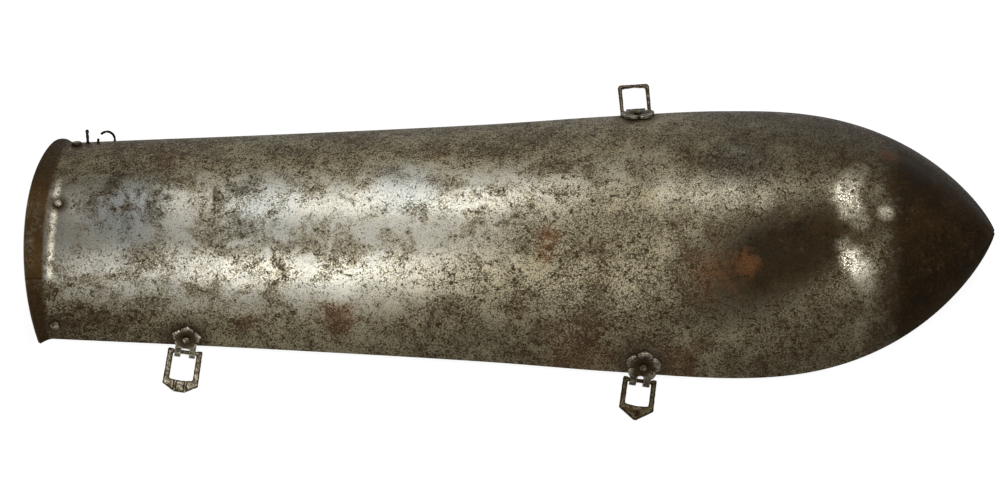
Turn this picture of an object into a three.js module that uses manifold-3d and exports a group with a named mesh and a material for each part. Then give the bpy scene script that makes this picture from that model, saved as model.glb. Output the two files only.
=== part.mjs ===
// Bazuband: a steel arm guard with three folded clips, their strap loops and two links of its mail.
// Millimetres. +X runs from the wrist to the elbow point, +Z is up, and the guard lies hollow side down.

import * as THREE from 'three';
import { mergeVertices } from 'three/addons/utils/BufferGeometryUtils.js';
import Module from 'manifold-3d';

const wasm = await Module();
wasm.setup();

const degree = Math.PI / 180;

// Shell: length from the wrist crease to the widest place and on to the elbow point
const forearmLength = 234;
const elbowLength = 90.5;
const sheet = 1.2;
const wristHalfWidth = 36.6;
const widestHalfWidth = 49.8;
const elbowRimLift = 12;
const forearmWidthShares = [[0, 0], [0.31, 0.258], [0.64, 0.59], [0.82, 0.835], [1, 1]];
const archRiseShare = 0.56;
const outlineFullness = 2.5;
const outlineBluntness = 0.78;
const crestFullness = 2.2;
const crestBluntness = 0.8;
const rimLiftPower = 1.5;

// Wrist flange: turned out and up, narrower at its corners, its end a little out of square
const flangeWidth = 10.1;
const flangeCornerSetback = 6.2;
const flangeFlare = 2.6;
const flangeSideFlare = 2.6;
const flangeCurl = 1.6;
const wristSkew = 2;
const skewFade = 34;

// Clearances
const seat = 0.25;
const overrun = 2;

// Rivets
const shankRadius = 0.9;
const tailRise = 0.7;
const tailRadius = 1.55;
const clipHeadRadius = 1.45;
const clipHeadRise = 1.0;
const wristHeadRadius = 1.9;
const wristHeadRise = 1.1;
const headSlabShare = 0.3;
const tailTopShare = 0.7;
const tailEdgeShare = 0.5;

// Roves that the wrist rivets are clenched over
const roveRadius = 2.5;
const roveThickness = 0.5;

// Clips: a strip folded round the bar of its loop, with a rosette on the outer leaf
const strip = 0.85;
const barClearance = 0.25;
const rimToEye = 1.6;
const tongueReach = 3.6;
const rosetteEdge = 0.75;
const rosetteRise = 0.75;
const facetRadius = 5.4;
const facetNotch = 0.7;
const facetNotchWidth = 1;
const flowerRadius = 6.2;
const petalCutShare = 0.24;
const notchFrom = 4.3;
const footWear = 0.16;

// Strap loops: forged flat, the bar filed thinner between the ears where the clip turns on it
const loopThickness = 1.5;
const loopBevel = 0.35;
const loopBow = 0.35;
const grooveWidth = 0.9;
const grooveDepth = 0.5;
const ridgeRise = 0.8;
const loopFloorGap = 0.3;

// Wrist clip, near side
const wristClipPlace = 44.7;
const wristClipInset = 3.4;
const wristClipWidth = 7.2;
const wristClipNotch = 2.9;
const wristLoopBar = 1.4;
const wristLoopEar = 1.9;
const wristLoopOpening = 8;
const wristLoopReach = 9.2;
const wristLoopSide = 2.05;
const wristLoopEnd = 4.5;

// Elbow clip, near side
const nearClipPlace = 202.4;
const nearClipInset = 4;
const nearClipWidth = 7.2;
const nearClipNotch = 2.3;
const nearLoopBar = 1.4;
const nearLoopEar = 2;
const nearLoopOpening = 8.1;
const nearLoopReach = 8;
const nearLoopSide = 1.85;
const nearLoopEnd = 5.4;

// Elbow clip, far side
const farClipPlace = 201.4;
const farClipInset = 3.3;
const farClipWidth = 6.8;
const farLoopBar = 1.4;
const farLoopEar = 1.5;
const farLoopOpening = 8.3;
const farLoopReach = 9.4;
const farLoopSide = 1.35;
const farLoopEnd = 1.5;

// Wrist rivets and mail holes, past the wrist crease
const nearRivetPlace = 0.9;
const crestRivetPlace = 0.1;
const farRivetPlace = 1.5;
const closedLinkPlace = 5.4;
const openLinkPlace = 9.3;

// Mail links
const linkRadius = 3.2;
const linkWire = 0.8;
const linkHoleRadius = 1.25;
const linkHoleInset = 2.3;
const linkCentreOut = 1;
const lapWidth = 1.5;
const lapLength = 2.8;
const linkRimGap = 0.4;
const closedLinkLean = 10 * degree;
const openLinkTurns = [154 * degree, 491 * degree];

// Fittings; side is -1 near, 1 far, and a loop's nose and shoulder are shares of its width and length
const clips = [
  {
    name: 'wrist_clip', rivetName: 'wrist_clip_rivet', loopName: 'wrist_loop', style: 'facets', headSides: 5,
    x: wristClipPlace, inset: wristClipInset, side: -1, turn: -8 * degree,
    strapWidth: wristClipWidth, notch: wristClipNotch,
    loop: {
      form: 'grooved', noseShare: 0.3, shoulderShare: 0.82,
      bar: wristLoopBar, ear: wristLoopEar, opening: wristLoopOpening, reach: wristLoopReach,
      side: wristLoopSide, end: wristLoopEnd,
    },
  },
  {
    name: 'elbow_clip_near', rivetName: 'elbow_clip_rivet_near', loopName: 'elbow_loop_near', style: 'flower',
    x: nearClipPlace, inset: nearClipInset, side: -1, turn: -8 * degree,
    strapWidth: nearClipWidth, notch: nearClipNotch, headSides: 14,
    loop: {
      form: 'ridged', noseShare: 0.08, shoulderShare: 0.73,
      bar: nearLoopBar, ear: nearLoopEar, opening: nearLoopOpening, reach: nearLoopReach,
      side: nearLoopSide, end: nearLoopEnd,
    },
  },
  {
    name: 'elbow_clip_far', rivetName: 'elbow_clip_rivet_far', loopName: 'elbow_loop_far', style: 'flower',
    x: farClipPlace, inset: farClipInset, side: 1, turn: 3 * degree,
    strapWidth: farClipWidth, notch: 0, headSides: 14,
    loop: {
      form: 'plain', noseShare: 0.9, shoulderShare: 0.92,
      bar: farLoopBar, ear: farLoopEar, opening: farLoopOpening, reach: farLoopReach,
      side: farLoopSide, end: farLoopEnd,
    },
  },
];
const wristRivets = [
  { end: 'near', across: -0.86, x: nearRivetPlace, headSides: 14 },
  { end: 'crest', across: 0.13, x: crestRivetPlace, headSides: 4 },
  { end: 'far', across: 0.9, x: farRivetPlace, headSides: 14 },
];
const links = [
  { name: 'mail_link_riveted', x: closedLinkPlace, open: false },
  { name: 'mail_link_open', x: openLinkPlace, open: true },
];

// Materials

const steel = () => new THREE.MeshStandardMaterial({ color: 0x7a756b, roughness: 0.5, metalness: 0.9 });
const iron = () => new THREE.MeshStandardMaterial({ color: 0x6b6252, roughness: 0.55, metalness: 0.85 });
const darkIron = () => new THREE.MeshStandardMaterial({ color: 0x40392f, roughness: 0.65, metalness: 0.8 });

// Solids for cuts and joins

const welded = (geometry) => {
  const bare = geometry.clone();
  bare.deleteAttribute('normal');
  bare.deleteAttribute('uv');
  return mergeVertices(bare, 1e-4);
};

const solidOf = (geometry) => {
  const g = welded(geometry);
  const vertProperties = new Float32Array(g.attributes.position.array);
  const triVerts = new Uint32Array(g.index.array);
  return new wasm.Manifold(new wasm.Mesh({ numProp: 3, vertProperties, triVerts }));
};

const geometryOf = (solid) => {
  const mesh = solid.getMesh();
  const geometry = new THREE.BufferGeometry();
  geometry.setAttribute('position', new THREE.BufferAttribute(new Float32Array(mesh.vertProperties), 3));
  geometry.setIndex(Array.from(mesh.triVerts));
  geometry.computeVertexNormals();
  return geometry;
};

const cut = (base, tools) => {
  let solid = solidOf(base);
  for (const tool of tools) solid = solid.subtract(solidOf(tool));
  return geometryOf(solid);
};

const join = (base, more) => {
  let solid = solidOf(base);
  for (const piece of more) solid = solid.add(solidOf(piece));
  return geometryOf(solid);
};

const common = (a, b) => geometryOf(solidOf(a).intersect(solidOf(b)));

// Round bar along the local z axis, from low to high
const roundBar = (radius, low, high, sides) => {
  const g = new THREE.CylinderGeometry(radius, radius, high - low, sides);
  g.rotateX(Math.PI / 2);
  g.translate(0, 0, (low + high) / 2);
  return g;
};

const block = (lowX, highX, lowY, highY, lowZ, highZ) => {
  const g = new THREE.BoxGeometry(highX - lowX, highY - lowY, highZ - lowZ);
  g.translate((lowX + highX) / 2, (lowY + highY) / 2, (lowZ + highZ) / 2);
  return g;
};

// Outline in x and y, given as points, drawn up from low to high
const prism = (points, low, high) => {
  const shape = new THREE.Shape(points.map(([x, y]) => new THREE.Vector2(x, y)));
  const g = new THREE.ExtrudeGeometry(shape, { depth: high - low, bevelEnabled: false });
  g.translate(0, 0, low);
  return g;
};

// Profile of radius and height, turned about the local z axis
const lathe = (profile, sides) => {
  const g = new THREE.LatheGeometry(profile.map(([r, z]) => new THREE.Vector2(r, z)), sides);
  g.rotateX(Math.PI / 2);
  return g;
};

// A form drawn in x and y becomes one in p and n, with its depth along u
const pnToSeat = new THREE.Matrix4().makeBasis(
  new THREE.Vector3(0, 1, 0),
  new THREE.Vector3(0, 0, 1),
  new THREE.Vector3(1, 0, 0),
);

// Shape of the shell

// Smooth curve through a table of [place, value], level at its last point
const smoothThrough = (table, at) => {
  const last = table.length - 1;
  const rate = (i) => (table[i + 1][1] - table[i][1]) / (table[i + 1][0] - table[i][0]);
  const slope = (i) => {
    if (i === last) return 0;
    return i === 0 ? rate(0) : (rate(i - 1) + rate(i)) / 2;
  };
  let i = 0;
  while (i < last - 1 && at > table[i + 1][0]) i += 1;
  const run = table[i + 1][0] - table[i][0];
  const t = (at - table[i][0]) / run;
  const rise = (3 - 2 * t) * t * t;
  return (1 - rise) * table[i][1] + rise * table[i + 1][1]
    + t * (1 - t) * run * ((1 - t) * slope(i) - t * slope(i + 1));
};

// Half width, rim height and crest rise of the cross-section at x past the wrist crease
const section = (x) => {
  if (x <= forearmLength) {
    const along = Math.max(x, 0) / forearmLength;
    const half = wristHalfWidth + (widestHalfWidth - wristHalfWidth) * smoothThrough(forearmWidthShares, along);
    return { half, rim: 0, rise: half * archRiseShare };
  }
  const s = Math.min((x - forearmLength) / elbowLength, 1);
  return {
    half: widestHalfWidth * (1 - s ** outlineFullness) ** outlineBluntness,
    rim: elbowRimLift * s ** rimLiftPower,
    rise: widestHalfWidth * archRiseShare * (1 - s ** crestFullness) ** crestBluntness,
  };
};

const arcOf = ({ half, rise }) => ({
  radius: (half * half + rise * rise) / (2 * rise),
  edge: 2 * Math.atan2(rise, half),
});

// Point of the outer surface at x past the crease; across runs from -1, the near rim, to 1, the far rim
const outerPoint = (x, across) => {
  const at = section(x);
  if (at.half === 0) return new THREE.Vector3(x, 0, at.rim);
  const { radius, edge } = arcOf(at);
  const angle = across * edge;
  const out = Math.max(-x / flangeWidth, 0);
  const flare = (flangeFlare + (flangeSideFlare - flangeFlare) * across * across) * out ** flangeCurl;
  const squareness = Math.max(1 - Math.max(x, 0) / skewFade, 0);
  return new THREE.Vector3(
    x + flangeCornerSetback * out * across * across + wristSkew * squareness * across,
    (radius + flare) * Math.sin(angle),
    at.rim + at.rise - radius + (radius + flare) * Math.cos(angle),
  );
};

const shellNormal = (x, across) => {
  const step = sheet / 20;
  const turn = step / wristHalfWidth;
  const alongX = outerPoint(Math.min(x + step, forearmLength + elbowLength - step), across)
    .sub(outerPoint(Math.max(x - step, -flangeWidth), across));
  const around = outerPoint(x, Math.min(across + turn, 1)).sub(outerPoint(x, Math.max(across - turn, -1)));
  return alongX.cross(around).normalize();
};

// Seat of a fitting: u along the rim, p down the slope to the rim, n straight out of the sheet
const seatAt = (x, across, way) => {
  const origin = outerPoint(x, across);
  const n = shellNormal(x, across);
  const u = new THREE.Vector3(way, 0, 0);
  u.addScaledVector(n, -u.dot(n)).normalize();
  const p = n.clone().cross(u);
  return new THREE.Matrix4().makeBasis(u, p, n).setPosition(origin);
};

const rimSeat = (x, side, inset) => {
  const { radius, edge } = arcOf(section(x));
  return seatAt(x, side * (1 - inset / (radius * edge)), side);
};

const clipSeat = (clip) => rimSeat(clip.x, clip.side, clip.inset)
  .multiply(new THREE.Matrix4().makeRotationZ(clip.turn));

// Main plate: stations closer together where the elbow closes

const stationsOf = () => {
  const flangeSteps = 5;
  const forearmSteps = 18;
  const elbowSteps = 20;
  const stations = [];
  for (let i = flangeSteps; i > 0; i -= 1) stations.push(-flangeWidth * i / flangeSteps);
  for (let i = 0; i < forearmSteps; i += 1) stations.push(forearmLength * i / forearmSteps);
  for (let i = 0; i < elbowSteps; i += 1) {
    stations.push(forearmLength + elbowLength * (1 - (1 - i / elbowSteps) ** 1.5));
  }
  return stations;
};

const shell = () => {
  const stations = stationsOf();
  const steps = 28;
  const columns = steps + 1;
  const rows = stations.length;
  const points = [];
  for (const depth of [0, sheet]) {
    for (const x of stations) {
      for (let j = 0; j < columns; j += 1) {
        const across = 2 * j / steps - 1;
        points.push(outerPoint(x, across).addScaledVector(shellNormal(x, across), -depth));
      }
    }
  }
  const tip = points.length;
  const tipPoint = outerPoint(forearmLength + elbowLength, 0);
  points.push(tipPoint, tipPoint.clone().add(new THREE.Vector3(-sheet * 1.4, 0, -sheet / 5)));

  const id = (inner, i, j) => (inner * rows + i) * columns + j;
  const faces = [];
  const quad = (a, b, c, d) => faces.push(a, b, c, a, c, d);
  const end = rows - 1;
  for (let i = 0; i < end; i += 1) {
    for (let j = 0; j < steps; j += 1) {
      quad(id(0, i, j), id(0, i + 1, j), id(0, i + 1, j + 1), id(0, i, j + 1));
      quad(id(1, i, j), id(1, i, j + 1), id(1, i + 1, j + 1), id(1, i + 1, j));
    }
    quad(id(0, i, 0), id(1, i, 0), id(1, i + 1, 0), id(0, i + 1, 0));
    quad(id(0, i, steps), id(0, i + 1, steps), id(1, i + 1, steps), id(1, i, steps));
  }
  for (let j = 0; j < steps; j += 1) {
    quad(id(0, 0, j), id(0, 0, j + 1), id(1, 0, j + 1), id(1, 0, j));
    faces.push(id(0, end, j), tip, id(0, end, j + 1));
    faces.push(id(1, end, j), id(1, end, j + 1), tip + 1);
  }
  quad(id(0, end, 0), id(1, end, 0), tip + 1, tip);
  quad(id(0, end, steps), tip, tip + 1, id(1, end, steps));
  const geometry = new THREE.BufferGeometry().setFromPoints(points);
  geometry.setIndex(faces);
  geometry.computeVertexNormals();
  return geometry;
};

const mainPlate = () => {
  const hole = (at, radius) => roundBar(radius, -sheet - overrun, overrun, 14).applyMatrix4(at);
  return cut(shell(), [
    ...clips.map((clip) => hole(clipSeat(clip), shankRadius + seat)),
    ...wristRivets.map((rivet) => hole(seatAt(rivet.x, rivet.across, 1), shankRadius + seat)),
    ...links.map((link) => hole(rimSeat(link.x, 1, linkHoleInset), linkHoleRadius)),
  ]);
};

// Rivets and roves, seated at the origin with the sheet below z = 0

const rivet = ({ headRadius, headRise, headSides, from, depth }) => {
  const slab = headRise * headSlabShare;
  const head = [[0, from], [headRadius, from]];
  const steps = 5;
  for (let i = 0; i < steps; i += 1) {
    const angle = i / steps * Math.PI / 2;
    head.push([headRadius * Math.cos(angle), from + slab + (headRise - slab) * Math.sin(angle)]);
  }
  head.push([0, from + headRise]);
  const shank = [
    [0, -depth - tailRise],
    [tailRadius * tailTopShare, -depth - tailRise],
    [tailRadius, -depth - tailRise * tailEdgeShare],
    [tailRadius, -depth],
    [shankRadius, -depth],
    [shankRadius, from + slab],
    [0, from + slab],
  ];
  return join(lathe(head, headSides), [lathe(shank, 14)]);
};

const rove = () => {
  const top = -sheet - seat;
  const bore = shankRadius + seat;
  return lathe([
    [bore, top],
    [bore, top - roveThickness],
    [roveRadius, top - roveThickness],
    [roveRadius, top],
    [bore, top],
  ], 16);
};

// Rosettes: a polar sheet, dished round the rivet and highest near its rim, with five petals or facets

const fifth = 72 * degree;
const petalWave = (angle) => Math.abs(Math.cos(angle * 5 / 2));
const dishShares = [[0.36, 0], [0.58, 0.55], [0.86, 1], [1, 0.4]];
const facetMiddle = facetRadius * Math.cos(fifth / 2);
const notchShare = Math.atan2(facetNotchWidth / 2, facetMiddle) / fifth;

const rosetteForms = {
  facets: {
    anglesShares: [0, 0.25, 0.5 - notchShare, 0.5, 0.5 + notchShare, 0.75],
    reach: (share) => {
      const fromMiddle = Math.abs(share - 0.5);
      return facetMiddle / Math.cos(fromMiddle * fifth) - facetNotch * Math.max(1 - fromMiddle / notchShare, 0);
    },
    fullness: (share) => 0.3 + 0.7 * Math.min(Math.abs(share - 0.5) / (0.5 - notchShare), 1),
  },
  flower: {
    anglesShares: [0, 0.1, 0.2, 0.3, 0.4, 0.5, 0.6, 0.7, 0.8, 0.9],
    reach: (share) => flowerRadius * (1 - petalCutShare * (1 - Math.sqrt(petalWave(share * fifth)))),
    fullness: (share) => Math.sqrt(petalWave(share * fifth)),
  },
};

const rosette = (style, firstPetal) => {
  const { anglesShares, reach, fullness } = rosetteForms[style];
  const rings = dishShares.map(([out]) => out);
  const sides = 5 * anglesShares.length;
  const points = [
    new THREE.Vector3(0, 0, seat),
    new THREE.Vector3(0, 0, seat + rosetteEdge),
  ];
  for (let i = 0; i < sides; i += 1) {
    const share = anglesShares[i % anglesShares.length];
    const angle = (Math.floor(i / anglesShares.length) + share) * fifth + firstPetal;
    const x = reach(share) * Math.sin(angle);
    const y = reach(share) * Math.cos(angle);
    points.push(new THREE.Vector3(x, y, seat));
    for (const [out, rise] of dishShares) {
      points.push(new THREE.Vector3(x * out, y * out, seat + rosetteEdge + rosetteRise * rise * fullness(share)));
    }
  }
  const stride = rings.length + 1;
  const id = (i, k) => 2 + (i % sides) * stride + k;
  const faces = [];
  for (let i = 0; i < sides; i += 1) {
    faces.push(0, id(i, 0), id(i + 1, 0));
    faces.push(1, id(i + 1, 1), id(i, 1));
    for (let k = 1; k < rings.length; k += 1) {
      faces.push(id(i, k), id(i + 1, k), id(i + 1, k + 1));
      faces.push(id(i, k), id(i + 1, k + 1), id(i, k + 1));
    }
    faces.push(id(i, 0), id(i, rings.length), id(i + 1, rings.length));
    faces.push(id(i, 0), id(i + 1, rings.length), id(i + 1, 0));
  }
  const geometry = new THREE.BufferGeometry().setFromPoints(points);
  geometry.setIndex(faces);
  geometry.computeVertexNormals();
  return geometry;
};

// Furthest that a loop's bar reaches from its own axis
const barReach = ({ bar }) => Math.max(
  Math.hypot(bar / 2, loopThickness / 2 - loopBevel),
  Math.hypot(bar / 2 - loopBevel, loopThickness / 2),
);

// Sizes that a clip takes from the sheet, its seat and the bars of the loops
const clipSizes = (clip) => {
  const { radius } = arcOf(section(clip.x));
  const outerLeaf = seat + strip / 2;
  const reach = Math.max(clip.inset, tongueReach);
  const innerLeaf = -sheet - seat - reach * reach / (2 * radius) - strip / 2;
  const eyeDepth = -sheet / 2;
  const eyeRadius = Math.max(
    Math.max(...clips.map(({ loop }) => barReach(loop))) + barClearance + strip / 2,
    outerLeaf - eyeDepth,
    eyeDepth - innerLeaf,
  );
  const eye = clip.inset + rimToEye + eyeRadius + strip / 2;
  return { outerLeaf, innerLeaf, eyeDepth, eyeRadius, eye };
};

const foldedStrip = (clip) => {
  const { outerLeaf, innerLeaf, eyeDepth, eyeRadius, eye } = clipSizes(clip);
  const from = Math.PI - Math.asin((outerLeaf - eyeDepth) / eyeRadius);
  const to = -Math.PI + Math.asin((eyeDepth - innerLeaf) / eyeRadius);
  const middle = [[-tongueReach, outerLeaf]];
  const steps = 14;
  for (let i = 0; i <= steps; i += 1) {
    const angle = from + (to - from) * i / steps;
    middle.push([eye + eyeRadius * Math.cos(angle), eyeDepth + eyeRadius * Math.sin(angle)]);
  }
  middle.push([-tongueReach, innerLeaf]);
  const sideAt = (i, offset) => {
    const before = middle[Math.max(i - 1, 0)];
    const after = middle[Math.min(i + 1, middle.length - 1)];
    const long = Math.hypot(after[0] - before[0], after[1] - before[1]);
    const across = [(before[1] - after[1]) / long, (after[0] - before[0]) / long];
    return [middle[i][0] + across[0] * offset, middle[i][1] + across[1] * offset];
  };
  const outside = middle.map((_, i) => sideAt(i, strip / 2));
  const inside = middle.map((_, i) => sideAt(i, -strip / 2)).reverse();
  return prism([...outside, ...inside], -clip.strapWidth / 2, clip.strapWidth / 2).applyMatrix4(pnToSeat);
};

// Plan of the strip: round tongue, straight sides
const stripPlan = (clip) => {
  const half = clip.strapWidth / 2;
  const { eye, eyeRadius, innerLeaf } = clipSizes(clip);
  const far = eye + eyeRadius + strip + overrun;
  const points = [[half, far], [-half, far]];
  const steps = 10;
  for (let i = 0; i <= steps; i += 1) {
    const angle = i / steps * Math.PI;
    points.push([-half * Math.cos(angle), -(tongueReach - overrun) * Math.sin(angle) - overrun / 2]);
  }
  return prism(points, innerLeaf - strip - eyeRadius, eyeRadius + strip);
};

const eyeCentre = (clip) => {
  const { eye, eyeDepth } = clipSizes(clip);
  return new THREE.Vector3(0, eye, eyeDepth).applyMatrix4(clipSeat(clip));
};

// The guard stands on its three knuckles, all worn flat at this height
const groundHeight = () => footWear + Math.min(...clips.map((clip) => {
  const { eyeRadius } = clipSizes(clip);
  return eyeCentre(clip).z - eyeRadius - strip / 2;
}));

// What the wear has taken off a knuckle, as a block in the clip's own frame
const groundUnder = (clip) => {
  const centre = eyeCentre(clip);
  const ground = groundHeight();
  const reach = clip.strapWidth + overrun;
  const slab = block(
    centre.x - reach,
    centre.x + reach,
    centre.y - reach,
    centre.y + reach,
    ground - overrun,
    ground,
  );
  return slab.applyMatrix4(clipSeat(clip).invert());
};

const clipBody = (clip) => {
  const { eye, eyeRadius, innerLeaf } = clipSizes(clip);
  const low = innerLeaf - strip - eyeRadius;
  const high = eyeRadius + strip + rosetteEdge + rosetteRise;
  const firstPetal = clip.notch > 0 ? Math.PI : 0;
  const body = join(common(foldedStrip(clip), stripPlan(clip)), [rosette(clip.style, firstPetal)]);
  const tools = [roundBar(shankRadius + seat, low, high, 14), groundUnder(clip)];
  if (clip.notch > 0) {
    const half = clip.notch / 2;
    tools.push(block(-half, half, notchFrom, eye + eyeRadius + strip + overrun, low, high));
  }
  return cut(body, tools);
};

const clipRivet = (clip) => rivet({
  headRadius: clipHeadRadius,
  headRise: clipHeadRise,
  headSides: clip.headSides,
  from: 2 * seat + Math.max(strip, rosetteEdge),
  depth: seat + strip / 2 - clipSizes(clip).innerLeaf,
});

const wristRivet = ({ headSides }) => rivet({
  headRadius: wristHeadRadius,
  headRise: wristHeadRise,
  headSides,
  from: seat,
  depth: sheet + roveThickness + 2 * seat,
});

// Strap loops: x along the bar, y outward, z through the thickness, the bar's axis at the origin

const loopLength = ({ bar, reach, end }) => bar / 2 + reach + end;

const loopBody = (loop) => {
  const { bar, ear, opening, reach, side, noseShare, shoulderShare, form } = loop;
  const half = opening / 2 + side;
  const inner = bar / 2 + reach;
  const far = loopLength(loop);
  const shoulder = far * shoulderShare;
  const nose = half * noseShare;
  const slot = opening / 2;
  const outline = [
    [-slot, -bar / 2], [slot, -bar / 2], [slot + loopBevel, -ear / 2],
    [half - loopBevel, -ear / 2], [half, -ear / 2 + loopBevel],
    [half + loopBevel / 2, shoulder], [nose, far], [-nose, far],
    [-half - loopBevel / 2, shoulder], [-half, -ear / 2 + loopBevel],
    [-half + loopBevel, -ear / 2], [-slot - loopBevel, -ear / 2],
  ];
  const window = [
    [-slot, bar / 2], [-slot, inner - loopBevel], [-slot + loopBevel, inner],
    [0, inner + loopBow], [slot - loopBevel, inner], [slot, inner - loopBevel], [slot, bar / 2],
  ];
  const toVectors = (points) => points.map(([x, y]) => new THREE.Vector2(x, y));
  const shape = new THREE.Shape(toVectors(outline));
  shape.holes.push(new THREE.Path(toVectors(window)));
  const frame = new THREE.ExtrudeGeometry(shape, {
    depth: loopThickness - 2 * loopBevel,
    bevelThickness: loopBevel,
    bevelSize: loopBevel,
    bevelOffset: -loopBevel,
    bevelSegments: 1,
  });
  frame.translate(0, 0, loopBevel - loopThickness / 2);
  const top = loopThickness / 2;
  if (form === 'grooved') {
    return cut(frame, [-1, 1].map((way) => block(
      way * nose - grooveWidth / 2,
      way * nose + grooveWidth / 2,
      inner - overrun,
      far + overrun,
      top - grooveDepth,
      top + overrun,
    )));
  }
  if (form === 'ridged') {
    const middle = (far + inner + loopBow) / 2;
    const ridge = new THREE.CylinderGeometry(0, far - middle - loopBevel, ridgeRise + loopBevel, 4);
    ridge.rotateX(Math.PI / 2);
    ridge.translate(0, middle, top - loopBevel + (ridgeRise + loopBevel) / 2);
    return join(frame, [ridge]);
  }
  return frame;
};

// A loop lies outward from its clip, its end just clear of what the guard stands on
const loopSeat = (clip) => {
  const axis = new THREE.Vector3().setFromMatrixColumn(clipSeat(clip), 0);
  const centre = eyeCentre(clip);
  const outward = new THREE.Vector3(0, clip.side, 0);
  outward.addScaledVector(axis, -outward.dot(axis)).normalize();
  const spare = centre.z - groundHeight() - loopThickness / 2 - loopFloorGap;
  const droop = Math.asin(Math.max(spare, 0) / loopLength(clip.loop));
  outward.applyAxisAngle(axis, -droop);
  const up = axis.clone().cross(outward);
  return new THREE.Matrix4().makeBasis(axis, outward, up).setPosition(centre);
};

// Mail links: the origin is the middle of the link's hole

class RingArc extends THREE.Curve {
  constructor(radius, from, to) {
    super();
    Object.assign(this, { radius, from, to });
  }

  getPoint(t, target = new THREE.Vector3()) {
    const angle = this.from + (this.to - this.from) * t;
    return target.set(this.radius * Math.cos(angle), this.radius * Math.sin(angle), 0);
  }
}

const linkHalfChord = Math.sqrt(linkRadius * linkRadius - linkCentreOut * linkCentreOut);

const linkBody = (link) => {
  let ring;
  if (link.open) {
    const wire = new THREE.Shape().absarc(0, 0, linkWire / 2, 0, 2 * Math.PI);
    const extrudePath = new RingArc(linkRadius, ...openLinkTurns);
    ring = new THREE.ExtrudeGeometry(wire, { extrudePath, steps: 36, curveSegments: 8, bevelEnabled: false });
  } else {
    const lap = new THREE.SphereGeometry(1, 12, 8);
    lap.scale(linkWire / 2 + loopBevel / 4, lapLength / 2, lapWidth / 2);
    lap.rotateZ(Math.PI / 2);
    lap.translate(0, linkRadius, 0);
    ring = join(new THREE.TorusGeometry(linkRadius, linkWire / 2, 8, 36), [lap]);
  }
  return ring.translate(linkHalfChord, linkCentreOut, 0).applyMatrix4(pnToSeat);
};

// The closed link stands across the rim, leaning a little; the open one is turned to pass just beyond the rim
const linkSeat = (link) => {
  const at = rimSeat(link.x, 1, linkHoleInset).multiply(new THREE.Matrix4().makeTranslation(0, 0, -sheet / 2));
  if (!link.open) return at.multiply(new THREE.Matrix4().makeRotationZ(closedLinkLean));
  const reach = linkHoleInset + linkWire / 2 + linkRimGap;
  const turn = Math.asin(reach / (2 * linkHalfChord));
  return at.multiply(new THREE.Matrix4().makeRotationZ(turn - Math.PI / 2));
};

// Assembly

const guard = new THREE.Group();

const place = (name, geometry, material, at) => {
  const mesh = new THREE.Mesh(geometry, material);
  mesh.name = name;
  if (at) mesh.applyMatrix4(at);
  guard.add(mesh);
};

place('main_plate', mainPlate(), steel());
for (const r of wristRivets) {
  place(`wrist_rivet_${r.end}`, wristRivet(r), iron(), seatAt(r.x, r.across, 1));
  place(`wrist_rove_${r.end}`, rove(), darkIron(), seatAt(r.x, r.across, 1));
}
for (const clip of clips) {
  place(clip.name, clipBody(clip), iron(), clipSeat(clip));
  place(clip.rivetName, clipRivet(clip), iron(), clipSeat(clip));
  place(clip.loopName, loopBody(clip.loop), iron(), loopSeat(clip));
}
for (const link of links) place(link.name, linkBody(link), darkIron(), linkSeat(link));

// The origin is the middle of the ground that the guard covers
const bounds = new THREE.Box3().setFromObject(guard, true);
const middle = bounds.getCenter(new THREE.Vector3());
guard.position.set(-middle.x, -middle.y, -bounds.min.z);

export default guard;
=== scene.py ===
"""Looks of a bazuband, a steel arm guard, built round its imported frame."""

import math

import bmesh
import bpy
import numpy as np
from bpy.props import FloatProperty, FloatVectorProperty, PointerProperty
from mathutils import Euler, Matrix, Vector, noise


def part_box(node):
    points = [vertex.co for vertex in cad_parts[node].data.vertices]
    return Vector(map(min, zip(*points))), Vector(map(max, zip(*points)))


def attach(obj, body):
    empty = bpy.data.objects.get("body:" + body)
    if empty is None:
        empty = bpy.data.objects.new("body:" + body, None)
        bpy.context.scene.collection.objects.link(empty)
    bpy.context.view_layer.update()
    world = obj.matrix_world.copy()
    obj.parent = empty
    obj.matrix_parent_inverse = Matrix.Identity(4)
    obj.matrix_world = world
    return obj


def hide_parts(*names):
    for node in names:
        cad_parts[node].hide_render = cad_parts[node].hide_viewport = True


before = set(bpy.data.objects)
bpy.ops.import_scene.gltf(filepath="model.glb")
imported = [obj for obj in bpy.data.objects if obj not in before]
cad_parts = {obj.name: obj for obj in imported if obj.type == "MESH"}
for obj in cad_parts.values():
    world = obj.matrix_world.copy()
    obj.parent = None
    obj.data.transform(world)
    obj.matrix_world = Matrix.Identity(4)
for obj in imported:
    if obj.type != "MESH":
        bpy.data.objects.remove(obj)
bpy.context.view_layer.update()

bl_info = {
    "name": "Arm Guard",
    "version": (1, 0, 0),
    "blender": (4, 5, 0),
    "location": "View3D > Sidebar > Arm Guard",
    "description": "Surfaces, fittings and studio of a steel arm guard",
    "category": "Object",
}

MM = 0.001


# Sizes and colours


def length(name, description, default, step=0.01):
    return FloatProperty(
        name=name, description=description, default=default * MM, unit="LENGTH", precision=5, step=step
    )


def number(name, description, default, **more):
    return FloatProperty(name=name, description=description, default=default, **more)


def share(name, description, default):
    return number(name, description, default, min=0.0, max=4.0)


def colour(name, description, default):
    return FloatVectorProperty(
        name=name, description=description, default=default, subtype="COLOR", size=3, min=0.0, max=1.0
    )


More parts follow.
